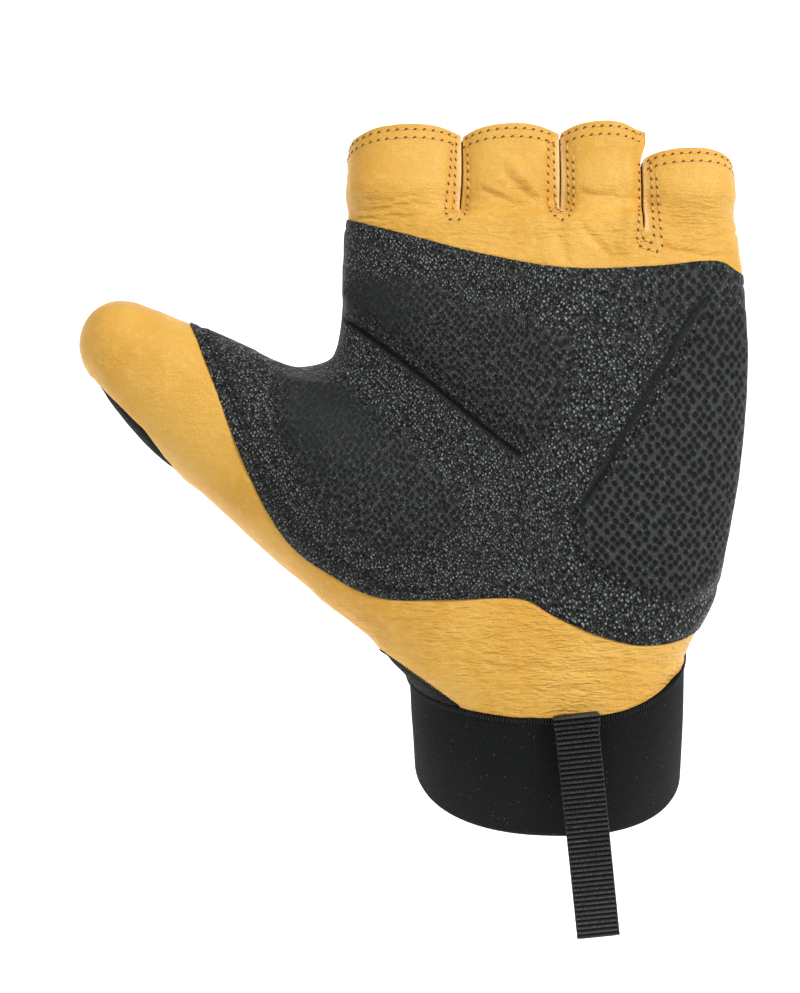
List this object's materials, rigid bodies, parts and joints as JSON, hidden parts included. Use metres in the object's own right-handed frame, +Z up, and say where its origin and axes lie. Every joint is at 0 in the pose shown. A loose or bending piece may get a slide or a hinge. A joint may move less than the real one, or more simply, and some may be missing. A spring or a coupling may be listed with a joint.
{
  "type": "cycling glove",
  "caption": "Half-finger cycling glove with a full thumb, tan leather palm side, padded black overlay, stretch back, elastic cuff and a webbing pull tab, held upright as worn.",
  "frame": {"origin": "middle of the cuff's lower rim, where the wrist goes in", "axes": "+Z up along the hand from the wrist to the fingers, the palm faces -Y, the thumb points to -X"},
  "size_m": [0.1597, 0.0679, 0.1925],
  "materials": {
    "leather": "tan-yellow grain leather, satin",
    "stretch_fabric": "black knitted stretch fabric, matt",
    "overlay": "black synthetic leather with a pressed pit lattice, satin",
    "elastic": "black woven elastic, matt with fine ribs",
    "webbing": "black ribbed webbing, satin",
    "thread": "brown-gold sewing thread"
  },
  "bodies": {
    "root": {"palm_leather": "leather", "thumb_front": "leather", "index_front": "leather", "middle_front": "leather", "ring_front": "leather", "little_front": "leather", "hand_back": "stretch_fabric", "thumb_back": "stretch_fabric", "index_back": "stretch_fabric", "middle_back": "stretch_fabric", "ring_back": "stretch_fabric", "little_back": "stretch_fabric", "palm_patch": "overlay", "pad_index": "overlay", "pad_thumb": "overlay", "pad_heel": "overlay", "cuff": "elastic", "pull_tab": "webbing"}
  },
  "joints": []
}
